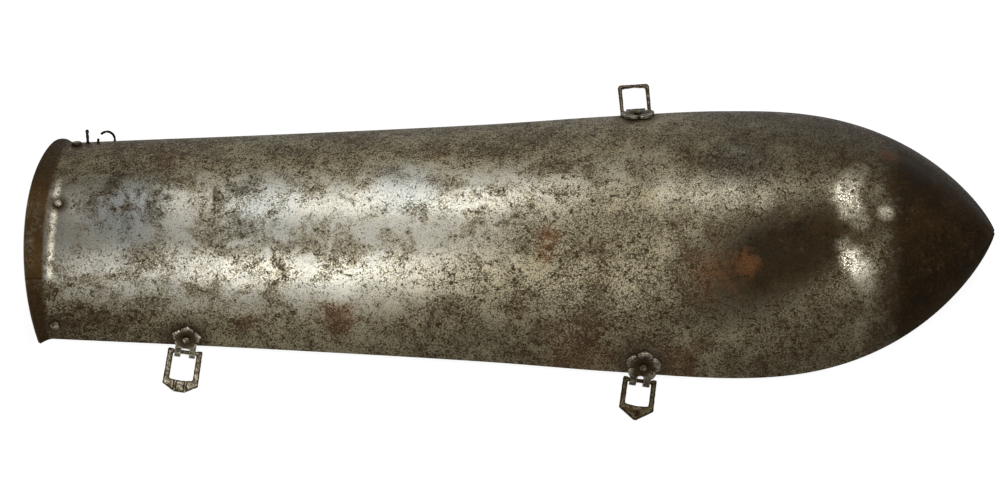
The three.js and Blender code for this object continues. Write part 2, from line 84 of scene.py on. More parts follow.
class GuardPlateSizes(bpy.types.PropertyGroup):
    """Sizes of the raised plate"""

    forearm_length: length("Forearm length", "Wrist crease to the widest place", 234)
    elbow_length: length("Elbow length", "Widest place to the elbow point", 90.5)
    sheet: length("Sheet", "Thickness of the plate", 1.2)
    wrist_half: length("Wrist half width", "Half the width at the wrist crease", 36.6)
    widest_half: length("Widest half width", "Half the width at the widest place", 49.8)
    elbow_lift: length("Elbow rim lift", "Rise of the rim at the elbow point", 12)
    arch_rise: share("Arch rise", "Rise of the arch as a share of its half width", 0.56)
    outline_fullness: share("Outline fullness", "How long the elbow's outline stays wide", 2.5)
    outline_bluntness: share("Outline bluntness", "How blunt the elbow's outline ends", 0.78)
    crest_fullness: share("Crest fullness", "How long the elbow's crest stays high", 2.2)
    crest_bluntness: share("Crest bluntness", "How blunt the elbow's crest ends", 0.8)
    rim_lift_power: share("Rim lift power", "How late the elbow's rim rises", 1.5)
    flange_width: length("Flange width", "Width of the turned-out wrist edge", 10.1)
    corner_setback: length("Corner setback", "How much narrower the flange is at its corners", 6.2)
    flare: length("Flare", "Rise of the flange at the crest", 2.6)
    side_flare: length("Side flare", "Rise of the flange at its corners", 2.6)
    curl: share("Curl", "How late the flange turns out", 1.6)
    corner_round: share("Corner rounding", "How far the flange's far corner is rounded off", 1.0)
    skew: length("Wrist skew", "How far the wrist end is out of square", 2)
    skew_fade: length("Skew fade", "Length over which the skew dies out", 34)
    dent_depth: length("Dent depth", "Depth of the hammer dents", 0.6)
    dent_size: length("Dent size", "Width of the hammer dents", 26)
    edge_round: length("Edge rounding", "Rounding of the plate's edges", 0.16)


class GuardFittingSizes(bpy.types.PropertyGroup):
    """Sizes of the rivets, clips, loops and mail links"""

    seat: length("Seat", "Clearance between pieces", 0.25)
    shank: length("Shank radius", "Radius of a rivet's shank", 0.9)
    tail: length("Tail radius", "Radius of a rivet's clenched tail", 1.55)
    tail_rise: length("Tail rise", "Height of a rivet's clenched tail", 0.7)
    clip_head: length("Clip rivet head radius", "Radius of a clip rivet's head", 1.45)
    clip_head_rise: length("Clip rivet head rise", "Height of a clip rivet's head", 1.0)
    wrist_head: length("Wrist rivet head radius", "Radius of a wrist rivet's head", 1.9)
    wrist_head_rise: length("Wrist rivet head rise", "Height of a wrist rivet's head", 1.1)
    strip: length("Strip", "Thickness of a clip's iron strip", 0.85)
    rove: length("Rove", "Thickness of a wrist rivet's rove", 0.5)
    tongue: length("Tongue", "Reach of a clip's tongue past its rivet", 3.6)
    link_hole: length("Mail hole radius", "Radius of the holes for the mail links", 1.25)
    link_wire: length("Link wire", "Thickness of a mail link's wire", 0.8)
    link_inset: length("Mail hole inset", "Distance of the mail holes from the rim", 2.3)
    grain: length("Grain", "Size of the fine mesh's faces on the fittings", 0.13)


class GuardFinish(bpy.types.PropertyGroup):
    """Colours of the steel, the iron and the rust"""

    steel: colour("Steel", "Bare steel of the plate", (0.235, 0.228, 0.198))
    film: colour("Brown film", "Thin brown film on the steel", (0.222, 0.197, 0.126))
    steel_blue: colour("Blued steel", "Faintly blued steel", (0.15, 0.185, 0.205))
    # Painted shade: this near-black stands for dark reflections before the elbow and along the wrist
    # crease; at the elbow point it is partly darkened steel.
    steel_black: colour("Blackened steel", "Heat-darkened steel at the elbow", (0.0048, 0.0040, 0.0028))
    # Also painted shade on the wrist flange and on the fittings' edges and hollows.
    pit: colour("Pit", "Dark filling of the pits", (0.020, 0.0115, 0.0042))
    rust: colour("Rust", "Red-brown rust", (0.100, 0.036, 0.007))
    # Also painted shadow round the fittings and painted shade towards the rims, besides real blotches.
    grime: colour("Grime", "Dirt round the fittings", (0.030, 0.019, 0.009))
    iron: colour("Iron", "Browned iron of the fittings", (0.080, 0.068, 0.041))
    # Also the bright strip along the wrist crease, partly a painted highlight.
    iron_bright: colour("Bright iron", "Worn edges of the fittings", (0.40, 0.37, 0.29))
    iron_brown: colour("Browned iron", "Browned iron of the elbow's fittings", (0.036, 0.028, 0.017))
    dark_iron: colour("Dark iron", "Rusted iron of the mail links", (0.014, 0.011, 0.007))


class GuardStudio(bpy.types.PropertyGroup):
    """Camera, lamps and floor"""

    elevation: number("Elevation", "Height of the camera's view", math.radians(70), subtype="ANGLE")
    roll: number("Roll", "Turn about the view", 0.0045, subtype="ANGLE")
    distance: number("Distance", "Camera to the guard", 1.109, unit="LENGTH")
    lens: number("Lens", "Focal length in millimetres", 113.94)
    aim: length("Aim", "Past the wrist crease, where the camera looks", 154.98)
    shift_right: number("Shift right", "Move of the picture as a share of its width", -0.00623)
    shift_up: number("Shift up", "Move of the picture as a share of its width", -0.00489)
    lamp_height: number("Lamp height", "Height of the lamps", 0.6, unit="LENGTH")
    far_lamp: number("Far lamp", "Power of the far lamp in watts", 2.2)
    near_lamp: number("Near lamp", "Power of the near lamp in watts", 2.4)
    end_lamp: number("End lamps", "Power of each lamp by the elbow in watts", 1.7)
    world: number("World", "Strength of the room's light", 0.7)
    floor_glow: number("Floor glow", "How white the floor shows, as a share", 0.85)


# Arithmetic on node sockets


def operator(operation, turned=False):
    """One of Python's operators on a Signal; turned where the signal stands on the right."""

    def run(self, other):
        return self.math(operation, other, self) if turned else self.math(operation, self, other)

    return run


class Signal:
    """An output of a node that takes part in plain arithmetic; a bare one only holds its tree."""

    def __init__(self, tree, socket=None):
        self.tree = tree
        self.socket = socket

    def add(self, kind, settings=None, inputs=None, output=0):
        """Adds any node: its settings first, then the values or links of its sockets."""
        node = self.tree.nodes.new(kind)
        for key, value in (settings or {}).items():
            setattr(node, key, value)
        for key, value in (inputs or {}).items():
            if isinstance(value, Signal):
                self.tree.links.new(value.socket, node.inputs[key])
            else:
                node.inputs[key].default_value = value
        return Signal(self.tree, node.outputs[output] if len(node.outputs) else None)

    def math(self, operation, *values):
        return self.add("ShaderNodeMath", {"operation": operation}, dict(enumerate(values)))

    __add__ = operator("ADD")
    __radd__ = operator("ADD", turned=True)
    __sub__ = operator("SUBTRACT")
    __rsub__ = operator("SUBTRACT", turned=True)
    __mul__ = operator("MULTIPLY")
    __rmul__ = operator("MULTIPLY", turned=True)
    __truediv__ = operator("DIVIDE")
    __rtruediv__ = operator("DIVIDE", turned=True)
    __pow__ = operator("POWER")


def on_signal(operation, plain):
    """A function of numbers that also works where one of them is a Signal."""

    def run(*values):
        for value in values:
            if isinstance(value, Signal):
                return value.math(operation, *values)
        return plain(*values)

    return run


sine = on_signal("SINE", math.sin)
cosine = on_signal("COSINE", math.cos)
turn_of = on_signal("ARCTAN2", math.atan2)
greater = on_signal("MAXIMUM", max)
lesser = on_signal("MINIMUM", min)
size_of = on_signal("ABSOLUTE", abs)
rest_of = on_signal("MODULO", math.fmod)


def clamped(value):
    return lesser(greater(value, 0.0), 1.0)


def between(value, low, high):
    """Share of the way from low to high, kept from 0 to 1."""
    return clamped((value - low) / (high - low))


# Shape of the plate, the same rule for numbers and for node sockets

WIDTH_SHARES = [(0, 0), (0.31, 0.258), (0.64, 0.59), (0.82, 0.835), (1, 1)]


def smooth_through(table, at):
    """Smooth curve through a table of places and values, level at its last point."""
    rates = [(b[1] - a[1]) / (b[0] - a[0]) for a, b in zip(table, table[1:])]
    slopes = [rates[0]]
    slopes += [(a + b) / 2 for a, b in zip(rates, rates[1:])]
    slopes.append(0)
    total = table[0][1]
    for i, (a, b) in enumerate(zip(table, table[1:])):
        run = b[0] - a[0]
        t = between(at, a[0], b[0])
        rise = (3 - 2 * t) * t * t
        total = total + rise * (b[1] - a[1]) + t * (1 - t) * run * ((1 - t) * slopes[i] - t * slopes[i + 1])
    return total


class PlateShape:
    """The outer surface; its sizes are numbers, or the inputs of a node tree."""

    def __init__(self, sizes):
        self.__dict__.update(sizes)

    def section(self, x):
        along = clamped(x / self.forearm_length)
        half = self.wrist_half + (self.widest_half - self.wrist_half) * smooth_through(WIDTH_SHARES, along)
        past = clamped((x - self.forearm_length) / self.elbow_length)
        outline = (1 - past**self.outline_fullness) ** self.outline_bluntness
        crest = (1 - past**self.crest_fullness) ** self.crest_bluntness
        return half * outline, self.elbow_lift * past**self.rim_lift_power, half * self.arch_rise * crest

    def arc(self, half, rise):
        return (half * half + rise * rise) / (2 * rise), 2 * turn_of(rise, half)

    def point(self, x, across):
        """Place on the outer surface; across runs from -1, the near rim, to 1, the far rim."""
        half, rim, rise = self.section(x)
        radius, edge = self.arc(half, rise)
        out = greater(-1 * x / self.flange_width, 0.0)
        # The rounded corner takes the flange's outer half and the outer fifth of the half width
        outer = greater(2 * out - 1, 0.0)
        beside = greater(5 * across - 4, 0.0)
        diagonal = (outer * outer + beside * beside + 1e-6) ** 0.5
        cut = self.corner_round * (1 - greater(outer, beside) / diagonal)
        out = out - 0.5 * outer * cut
        x = x + 0.5 * outer * cut * self.flange_width
        across = across - 0.2 * beside * cut
        flare = (self.flare + (self.side_flare - self.flare) * across * across) * out**self.curl
        square = greater(1 - greater(x, 0.0) / self.skew_fade, 0.0)
        angle = across * edge
        return (
            x + self.corner_setback * out * across * across + self.skew * square * across,
            (radius + flare) * sine(angle),
            rim + rise - radius + (radius + flare) * cosine(angle),
        )

    def normal(self, x, across):
        step = self.sheet / 20
        turn = step / self.wrist_half
        along = Vector(self.point(x + step, across)) - Vector(self.point(x - step, across))
        around = Vector(self.point(x, across + turn)) - Vector(self.point(x, across - turn))
        return along.cross(around).normalized()


def plate_values():
    sizes = bpy.context.scene.guard_plate
    return {key: getattr(sizes, key) for key in GuardPlateSizes.__annotations__}


def crease_place(shape):
    """Where the shape's own origin, under the wrist crease, is in the frame."""
    low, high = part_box("main_plate")
    whole = shape.forearm_length + shape.elbow_length
    steps = 200
    top = max(shape.point(whole * i / steps, 0)[2] for i in range(steps))
    return Vector((high.x - whole, (low.y + high.y) / 2, high.z - top))


def seat_at(x, across, way):
    """Frame of a fitting: its x along the rim, y down the slope to the rim, z out of the sheet."""
    shape = PlateShape(plate_values())
    out = shape.normal(x, across)
    along = Vector((way, 0, 0))
    along = (along - out * along.dot(out)).normalized()
    down = out.cross(along)
    turned = Matrix((along, down, out)).transposed().to_4x4()
    return Matrix.Translation(crease_place(shape) + Vector(shape.point(x, across))) @ turned


def rim_seat(x, side, inset, turn=0.0):
    shape = PlateShape(plate_values())
    half, _, rise = shape.section(x)
    radius, edge = shape.arc(half, rise)
    return seat_at(x, side * (1 - inset / (radius * edge)), side) @ Matrix.Rotation(turn, 4, "Z")


# Places of the fittings: past the wrist crease, from the rim, and turned, as the frame's solids have them

CLIPS = {
    "wrist_clip": {
        "x": 44.7 * MM, "side": -1, "inset": 3.4 * MM, "turn": math.radians(-8), "iron": "worn_clip_iron",
    },
    "elbow_clip_near": {
        "x": 202.4 * MM, "side": -1, "inset": 4 * MM, "turn": math.radians(-8), "iron": "browned_clip_iron",
    },
    "elbow_clip_far": {
        "x": 201.4 * MM, "side": 1, "inset": 3.3 * MM, "turn": math.radians(3), "iron": "browned_clip_iron",
    },
}
WRIST_RIVETS = {
    "near": {"x": 0.9 * MM, "across": -0.86},
    "crest": {"x": 0.1 * MM, "across": 0.13},
    "far": {"x": 1.5 * MM, "across": 0.9},
}
LINK_PLACES = (5.4 * MM, 9.3 * MM)


def clip_seat(name):
    clip = CLIPS[name]
    return rim_seat(clip["x"], clip["side"], clip["inset"], clip["turn"])


def wrist_rivet_seat(end):
    return seat_at(WRIST_RIVETS[end]["x"], WRIST_RIVETS[end]["across"], 1)


# Making and finishing meshes


def tree_of(name, kind):
    tree = bpy.data.node_groups.new(name, kind)
    return tree, Signal(tree)


def named_inputs(tree, floats):
    """Geometry in, and one named number for each size; returns the group's input signals."""
    tree.interface.new_socket("Geometry", in_out="INPUT", socket_type="NodeSocketGeometry")
    tree.interface.new_socket("Geometry", in_out="OUTPUT", socket_type="NodeSocketGeometry")
    for key in floats:
        tree.interface.new_socket(key, in_out="INPUT", socket_type="NodeSocketFloat")
    source = tree.nodes.new("NodeGroupInput")
    return {socket.name: Signal(tree, socket) for socket in source.outputs if socket.name}


def end_tree(tree, geometry, material):
    start = Signal(tree)
    real = start.add("GeometryNodeRealizeInstances", {}, {"Geometry": geometry})
    smooth = start.add("GeometryNodeSetShadeSmooth", {}, {"Geometry": real})
    dressed = start.add("GeometryNodeSetMaterial", {}, {"Geometry": smooth, "Material": material})
    start.add("NodeGroupOutput", {}, {"Geometry": dressed})


def scaled(start, vector, amount):
    return start.add("ShaderNodeVectorMath", {"operation": "SCALE"}, {"Vector": vector, "Scale": amount})


def unit_grid(start, rows, columns):
    """A flat grid of side 1, and its corners' two coordinates, from -0.5 to 0.5."""
    sizes = {"Size X": 1.0, "Size Y": 1.0, "Vertices X": rows, "Vertices Y": columns}
    grid = start.add("GeometryNodeMeshGrid", {}, sizes)
    corner = start.add("GeometryNodeInputPosition")
    return grid, *[start.add("ShaderNodeSeparateXYZ", {}, {"Vector": corner}, axis) for axis in "XY"]


def bent(start, grid, x, y, z):
    """The grid with each corner at its place, closed where corners meet."""
    place = start.add("ShaderNodeCombineXYZ", {}, {"X": x, "Y": y, "Z": z})
    moved = start.add("GeometryNodeSetPosition", {}, {"Geometry": grid, "Position": place})
    return start.add("GeometryNodeMergeByDistance", {}, {"Geometry": moved, "Distance": 1e-6})


def pressed(start, geometry, depth):
    """Presses the skin in along its normals."""
    offset = scaled(start, start.add("GeometryNodeInputNormal"), -1 * depth)
    return start.add("GeometryNodeSetPosition", {}, {"Geometry": geometry, "Offset": offset})


def new_object(name, mesh):
    piece = bpy.data.objects.new(name, mesh)
    bpy.context.scene.collection.objects.link(piece)
    return piece


def run_tree(piece, tree, values):
    """Puts a tree on a piece, each input set by its identifier."""
    modifier = piece.modifiers.new(tree.name, "NODES")
    modifier.node_group = tree
    for item in tree.interface.items_tree:
        if item.in_out == "INPUT" and item.name in values:
            modifier[item.identifier] = values[item.name]


def baked(piece):
    """Turns a piece's modifiers into its plain mesh."""
    bpy.context.view_layer.update()
    evaluated = piece.evaluated_get(bpy.context.evaluated_depsgraph_get())
    mesh = bpy.data.meshes.new_from_object(evaluated)
    mesh.name = piece.name
    piece.modifiers.clear()
    piece.data = mesh
    return piece


def in_place(piece, body, slot, *nodes):
    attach(piece, body)
    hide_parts(*nodes)
    return piece


def vectors(items, name):
    values = np.empty(len(items) * 3, np.float32)
    items.foreach_get(name, values)
    return values.reshape(-1, 3)


def softened(mesh, places, rounds):
    """Places after each vertex has moved to the middle of its neighbours some times."""
    ends = np.empty(len(mesh.edges) * 2, np.int32)
    mesh.edges.foreach_get("vertices", ends)
    ends = ends.reshape(-1, 2)
    count = np.bincount(ends.ravel(), minlength=len(places)).reshape(-1, 1)
    for _ in range(rounds):
        total = np.zeros_like(places)
        for column in range(3):
            total[:, column] += np.bincount(ends[:, 0], places[ends[:, 1], column], len(places))
            total[:, column] += np.bincount(ends[:, 1], places[ends[:, 0], column], len(places))
        places = total / np.maximum(count, 1)
    return places


STAND_OUT_ROUNDS = 10
FULL_STAND_OUT = 0.08 * MM


def store_stand_out(mesh):
    """Keeps how far each vertex stands out of its surroundings, for polished edges and for painted shade on
    edges and in hollows.
    """
    places = vectors(mesh.vertices, "co")
    stand = ((places - softened(mesh, places, STAND_OUT_ROUNDS)) * vectors(mesh.vertex_normals, "vector")).sum(1)
    wear = mesh.attributes.new("wear", "FLOAT", "POINT")
    wear.data.foreach_set("value", np.clip(stand / FULL_STAND_OUT, -1, 1).astype(np.float32))


def pitted(mesh, depth, size, seed):
    """Presses the skin in by layered noise."""
    shift = Vector((seed, 2 * seed, 3 * seed))
    places = vectors(mesh.vertices, "co")
    ways = vectors(mesh.vertex_normals, "vector")
    for i, place in enumerate(places):
        spot = Vector(place) / size + shift
        dent = 0.5 + 0.5 * noise.fractal(spot, 0.7, 2.1, 4)
        places[i] -= ways[i] * depth * min(max(dent, 0.0), 1.0)
    mesh.vertices.foreach_set("co", places.ravel())
    mesh.update()


def forged(node, seed, grain, rounds=3, depth=0.10 * MM, size=1.6 * MM):
    """A fine copy of a CAD node: edges softened, skin pitted, and how far each place stands out kept, for
    polished edges and painted shade.
    """
    piece = new_object(f"{node}_iron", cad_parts[node].data.copy())
    form = bmesh.new()
    form.from_mesh(piece.data)
    bmesh.ops.remove_doubles(form, verts=form.verts, dist=1e-7)
    form.to_mesh(piece.data)
    form.free()
    remesh = piece.modifiers.new("grain", "REMESH")
    remesh.mode = "VOXEL"
    remesh.voxel_size = grain
    smooth = piece.modifiers.new("soft", "SMOOTH")
    smooth.iterations = rounds
    smooth.factor = 0.5
    baked(piece)
    piece.data.polygons.foreach_set("use_smooth", [True] * len(piece.data.polygons))
    pitted(piece.data, depth, size, seed)
    store_stand_out(piece.data)
    return piece


def dress(piece, material):
    piece.data.materials.clear()
    piece.data.materials.append(material)


# Finishes


def new_material(name):
    material = bpy.data.materials.new(name)
    material.use_nodes = True
    material.node_tree.nodes.clear()
    return material, Signal(material.node_tree)


def end_material(start, colour_of, roughness, metallic, height, relief):
    bump = start.add("ShaderNodeBump", {}, {"Strength": 1.0, "Distance": relief, "Height": height})
    skin = start.add(
        "ShaderNodeBsdfPrincipled",
        {},
        {"Base Color": colour_of, "Roughness": roughness, "Metallic": metallic, "Normal": bump},
    )
    start.add("ShaderNodeOutputMaterial", {}, {"Surface": skin})


def in_millimetres(start):
    return scaled(start, start.add("ShaderNodeTexCoord", {}, {}, "Object"), 1 / MM)


def cloud(start, place, scale, detail=3.0, rough=0.5, warp=0.0):
    return start.add(
        "ShaderNodeTexNoise",
        {},
        {"Vector": place, "Scale": scale, "Detail": detail, "Roughness": rough, "Distortion": warp},
    )


def cells(start, place, scale):
    return start.add("ShaderNodeTexVoronoi", {}, {"Vector": place, "Scale": scale, "Randomness": 1.0})


def stretched(start, place, factors, turn=(0, 0, 0)):
    return start.add("ShaderNodeMapping", {}, {"Vector": place, "Scale": factors, "Rotation": turn})


def blended(start, amount, first, second):
    """Colour from first to second."""
    node = start.tree.nodes.new("ShaderNodeMix")
    node.data_type = "RGBA"
    start.tree.links.new(amount.socket, node.inputs[0])
    for index, value in ((6, first), (7, second)):
        if isinstance(value, Signal):
            start.tree.links.new(value.socket, node.inputs[index])
        else:
            node.inputs[index].default_value = (*value, 1.0)
    return Signal(start.tree, node.outputs[2])


def near_spot(start, place, spot, reach):
    """1 at a spot in metres, fading to 0 at reach in metres."""
    away = start.add(
        "ShaderNodeVectorMath", {"operation": "DISTANCE"}, {0: place, 1: tuple(spot / MM)}, "Value"
    )
    return 1 - between(away, 0.0, reach / MM)


# Depth of the skin's relief, and reach of the grime and painted shadow round the fittings
PLATE_RELIEF = 0.035 * MM
IRON_RELIEF = 0.06 * MM
CLIP_GRIME_AND_SHADOW = 10.5 * MM
RIVET_GRIME_AND_SHADOW = 4.6 * MM
DISH_GRIME_AND_SHADOW = 6.5 * MM

# Zones of the plate, in millimetres past the wrist crease. The root, dimming, point and dark-zone stretches
# place painted shade; the clean stretch places a partly painted highlight.
WRIST_END = (35, 75)
ROOT_END = (0, 62)
CLEAN_AND_SHEEN_END = (134, 186)
DIMMING = (138, 190)
ELBOW_DIMMING = (205, 262)
POINT_START = (262, 296)
DARK_ZONE_MIDDLE = 250
DARK_ZONE_SLANT = 50
DARK_ZONE_REACH = 36

# Stains, and rubbed spots that are partly a painted highlight, on the plate: past the crease, across,
# reach, strength
RUST_STAINS = [
    (288, 0.62, 9, 0.8),
    (225, -0.33, 17, 0.5),
    (237, -0.28, 10, 1.0),
    (170, -0.13, 8, 0.95),
    (169, -0.20, 7, 0.85),
    (168, -0.27, 7, 0.8),
    (160, -0.62, 10, 0.35),
    (98, -0.72, 15, 0.75),
    (66, -0.78, 8, 0.5),
    (38, 0.62, 13, 0.5),
    (180, -0.93, 30, 0.6),
    (214, -0.93, 22, 0.6),
    (133, 0.55, 12, 0.35),
]
BLUE_STAINS = [
    (24, 0.1, 26, 0.8),
    (70, 0.1, 30, 0.5),
    (120, 0.25, 22, 0.5),
    (236, 0.35, 22, 0.5),
]
# Rubbed spots: cleaner, smoother steel that is partly a painted highlight, for the bright patches by the
# elbow and the bright band before them.
RUBBED_AND_SHEEN_SPOTS = [
    (277, 0.36, 5, 0.6),
    (274, 0.27, 7, 0.8),
    (271, 0.17, 8, 0.95),
    (273, 0.06, 7, 0.85),
    (276, -0.03, 5, 0.5),
    (270, -0.19, 4.5, 0.45),
    (273, -0.28, 6.5, 0.85),
    (276, -0.37, 7.5, 0.95),
    (278, -0.46, 6, 0.5),
    (285, 0.04, 4.5, 0.75),
    (212, 0.14, 12, 0.5),
    (222, 0.15, 12, 0.55),
    (232, 0.14, 11, 0.5),
    (242, 0.1, 8, 0.35),
]


def stains(start, place, shape, spots, texture, spread):
    """Ragged patches, strongest at their middles."""
    home = crease_place(shape)
    total = 0.0
    for x, across, reach, strength in spots:
        spot = home + Vector(shape.point(x * MM, across))
        ragged = near_spot(start, place, spot, reach * MM) - spread + texture
        total = greater(clamped(ragged * 2.2) * strength, total)
    return lesser(total, 1.0)


def kept_value(start, name):
    return start.add("ShaderNodeAttribute", {"attribute_name": name}, {}, "Fac")


def grime_and_shadow_at(start, place, fine):
    """Grime and painted shadow on the plate round the clips and the wrist rivets."""
    grime_and_shadow = 0.0
    for name in CLIPS:
        halo = near_spot(start, place, clip_seat(name).translation, CLIP_GRIME_AND_SHADOW)
        grime_and_shadow = greater(halo * 3.3 * fine, grime_and_shadow)
    for end in WRIST_RIVETS:
        halo = near_spot(start, place, wrist_rivet_seat(end).translation, RIVET_GRIME_AND_SHADOW)
        grime_and_shadow = greater(halo * 3.2 * fine, grime_and_shadow)
    return clamped(grime_and_shadow)


def plate_material():
    finish = bpy.context.scene.guard_finish
    shape = PlateShape(plate_values())
    material, start = new_material("pitted_plate_steel")
    place = in_millimetres(start)
    broad = cloud(start, place, 0.028, 4.0, 0.6, 0.4)
    middle = cloud(start, place, 0.12, 5.0, 0.62, 0.6)
    coarse = cloud(start, place, 0.5, 4.0, 0.66, 0.3)
    fine = cloud(start, place, 1.5, 3.0, 0.7)
    grit = cloud(start, place, 3.6, 2.0, 0.6)
    brushed = cloud(start, stretched(start, place, (0.09, 2.4, 2.4), (0, 0, 0.1)), 1.0, 4.0, 0.65)

    ragged = (middle - 0.5) * 1.5 + (coarse - 0.5) * 1.2 + (fine - 0.5) * 0.8
    across = kept_value(start, "across")
    side = size_of(across)
    crease = kept_value(start, "past_crease")
    reach = crease + ragged * 9
    # The crest is cleaner, smoother steel, partly rubbed clean and partly a painted highlight laid where
    # the lamps' highlights fall; the brown film covers the rest.
    off_crest = size_of(across + 0.16) + (broad - 0.5) * 0.3 + (middle - 0.5) * 0.25
    crest = (1 - between(off_crest, 0.36, 0.64)) * (1 - 0.9 * between(reach - 80 * across, *CLEAN_AND_SHEEN_END))
    film = clamped(1 - crest * (0.9 - 0.6 * between(middle + (broad - 0.5) * 0.6, 0.46, 0.62)))
    # Rubbed spots lift the film and the painted dark zone: rubbed steel, and partly a painted highlight.
    rubbed_and_sheen = stains(start, place, shape, RUBBED_AND_SHEEN_SPOTS, ragged * 0.8, 0.12)
    film = clamped(film - rubbed_and_sheen * 0.6)

    crowd = (middle - 0.5) * 0.5 + (broad - 0.5) * 0.3 + film * 0.10 - 0.055
    crowd = crowd + 0.035 * (1 - between(reach, *WRIST_END))
    specks = between(fine + (coarse - 0.5) * 0.3 + crowd * 0.7, 0.49, 0.59)
    dots = between(grit + crowd * 0.5, 0.48, 0.58)
    blotches = between(coarse + (fine - 0.5) * 0.6 + crowd * 0.6, 0.615, 0.66) * (0.72 + 0.2 * film)
    small_pits = between(0.27 - cells(start, place, 0.8), 0.0, 0.09) * between(coarse, 0.44, 0.56)
    large_pits = between(0.20 - cells(start, place, 0.2), 0.0, 0.07) * between(middle, 0.48, 0.6)
    pits = greater(small_pits, large_pits)

    rust = stains(start, place, shape, RUST_STAINS, ragged, 0.35)
    blued = stains(start, place, shape, BLUE_STAINS, ragged * 0.5, 0.3)
    # Painted shade: a dark zone before the elbow, dimming towards the elbow, the elbow point and a strip
    # along the wrist crease are blended to near-black; at the point it is partly darkened steel.
    beside = across + 0.23 + ragged * 0.05
    along = (reach - DARK_ZONE_MIDDLE - DARK_ZONE_SLANT * beside) / DARK_ZONE_REACH
    painted_dark_zone = 1 - between(along * along + beside * beside / 0.2 + ragged * 0.5, 0.1, 1.8)
    dimmed = 0.3 * between(reach - 70 * across, *DIMMING)
    dimmed = dimmed + (0.2 + 0.3 * greater(across, 0)) * between(reach, *ELBOW_DIMMING)
    root = (1 - between(crease + ragged * 12, *ROOT_END)) * (1 - 0.6 * between(side, 0.35, 0.6))
    point = between(reach, *POINT_START)
    black = greater(painted_dark_zone * 1.04, dimmed)
    black = greater(black, greater(point * 1.25, root * 0.62)) * (1 - rubbed_and_sheen) * (1.12 - 0.35 * fine)

    # Grime and painted shadow round the clips and the wrist rivets.
    grime = grime_and_shadow_at(start, place, fine)
    # Painted shade: the turned-out flange is darkened to the pit colour, mottled by noise.
    flange = between((coarse - 0.5) * 2.5 - crease, 1.9, 4.4)
    # A bright strip along the wrist crease: partly a rubbed edge and partly a painted highlight.
    wear_and_painted_light = (1 - between(size_of(crease + 0.9), 0.3, 1.5))
    wear_and_painted_light = wear_and_painted_light * (1 - between(size_of(across + 0.06) + ragged * 0.05, 0.30, 0.50))
    nick = (1 - between(size_of(across + 0.47 + ragged * 0.008), 0.003, 0.010)) * between(-1 * crease, 3, 4)
    # Painted shade: the plate darkens towards both rims, more at the far rim, in the grime colour; partly a
    # brown stain along the rims.
    rim = between(side + (coarse - 0.5) * 0.2, 0.72, 1.0)

    shade = blended(start, film, finish.steel, finish.film)
    shade = blended(start, blued * 0.55, shade, finish.steel_blue)
    shade = blended(start, clamped(black), shade, finish.steel_black)
    shade = blended(start, clamped(rim * (0.31 + 0.19 * across)), shade, finish.grime)
    mottled = 0.94 + 1.6 * (0.5 - middle) + 1.3 * (0.5 - coarse)
    shade = blended(start, clamped(flange * mottled), shade, finish.pit)
    shade = blended(start, wear_and_painted_light * between(coarse, 0.35, 0.5) * 0.8, shade, finish.iron_bright)
    shade = blended(start, rust * (0.85 + 0.15 * specks), shade, finish.rust)
    shade = blended(start, greater(grime, blotches), shade, finish.grime)
    spoiled = greater(specks * (0.46 + 0.42 * film), pits * (0.72 + 0.2 * film))
    spoiled = clamped(greater(spoiled, greater(dots * (0.44 + 0.36 * film), nick)))
    shade = blended(start, spoiled, shade, finish.pit)

    dull = clamped(greater(greater(spoiled, rust * 0.8), greater(grime, blotches)))
    polish = between(middle + (broad - 0.5) * 0.8, 0.40, 0.60)
    roughness = 0.40 - 0.08 * polish + 0.08 * (brushed - 0.5) + 0.08 * film + 0.35 * dull - 0.09 * rubbed_and_sheen
    metallic = 1 - 0.15 * rust - 0.15 * grime
    height = (0.45 * brushed + 0.8 * fine + 0.35 * grit) * (1 - 0.6 * rubbed_and_sheen)
    height = height - 1.6 * pits - 0.5 * specks - 0.8 * blotches + 0.3 * rust
    end_material(start, shade, clamped(roughness), clamped(metallic), height, PLATE_RELIEF)
    return material


# Look of an iron: its skin, its worn places, shares of rust, wear, painted shade on raised edges, and grime
# with painted shade round the rivet
IRONS = {
    "worn_fitting_iron": ("iron", "iron_bright", 0.3, 0.8, 1.0, 0.0),
    "worn_clip_iron": ("iron", "iron_bright", 0.3, 0.6, 0.0, 0.85),
    "browned_fitting_iron": ("iron_brown", "iron_bright", 0.45, 0.4, 1.0, 0.0),
    "browned_clip_iron": ("iron_brown", "iron_bright", 0.5, 0.38, 0.0, 0.9),
    "rusted_dark_iron": ("dark_iron", "iron", 0.3, 0.9, 1.0, 0.0),
}


